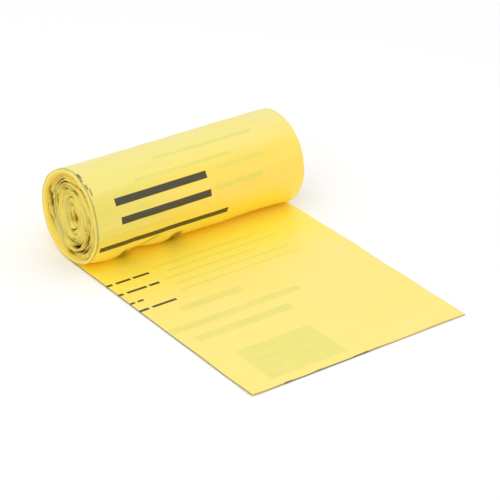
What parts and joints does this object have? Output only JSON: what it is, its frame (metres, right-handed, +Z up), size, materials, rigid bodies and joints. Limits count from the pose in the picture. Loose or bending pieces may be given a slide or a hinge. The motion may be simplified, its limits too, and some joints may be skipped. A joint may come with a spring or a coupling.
{
  "type": "roll of biohazard waste bags",
  "caption": "Coreless roll of yellow plastic film bags lying on its side, with the free end of the folded web pulled out flat in front.",
  "frame": {"origin": "middle of the footprint, on the surface that the roll and its free end lie on", "axes": "+X runs along the roll, the free end runs out to -Y, +Z is up"},
  "size_m": [0.254, 0.3529, 0.0951],
  "materials": {
    "yellow_film": "translucent yellow polyethylene film with a soft sheen"
  },
  "bodies": {
    "root": {"bag_roll": "yellow_film"}
  },
  "joints": []
}
